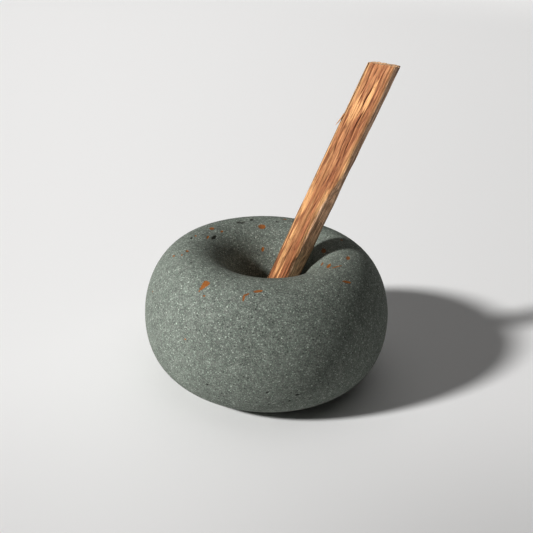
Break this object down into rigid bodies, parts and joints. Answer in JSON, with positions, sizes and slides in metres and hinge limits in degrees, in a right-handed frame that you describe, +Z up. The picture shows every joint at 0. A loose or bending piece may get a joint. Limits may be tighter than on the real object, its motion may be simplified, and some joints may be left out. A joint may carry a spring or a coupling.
{
  "type": "incense burner",
  "caption": "Rounded carved stone burner with a flared blind pocket, holding one loose split-wood incense stick that leans on the rim.",
  "frame": {"origin": "centre of the stone's flat base, on the surface it stands on", "axes": "+Z up through the middle of the pocket, +X the way the stick leans"},
  "size_m": [0.08, 0.08, 0.1046],
  "materials": {
    "volcanic_stone": "honed, matte, fine speckle",
    "aromatic_wood": "raw split grain"
  },
  "bodies": {
    "burner": {"stone_body": "volcanic_stone"},
    "stick": {"wood_stick": "aromatic_wood"}
  },
  "joints": [
    {"name": "stick_lift", "type": "slide", "parent": "burner", "child": "stick", "axis": [0.3518, 0, 0.9361], "range_m": [0, 0.06]}
  ]
}
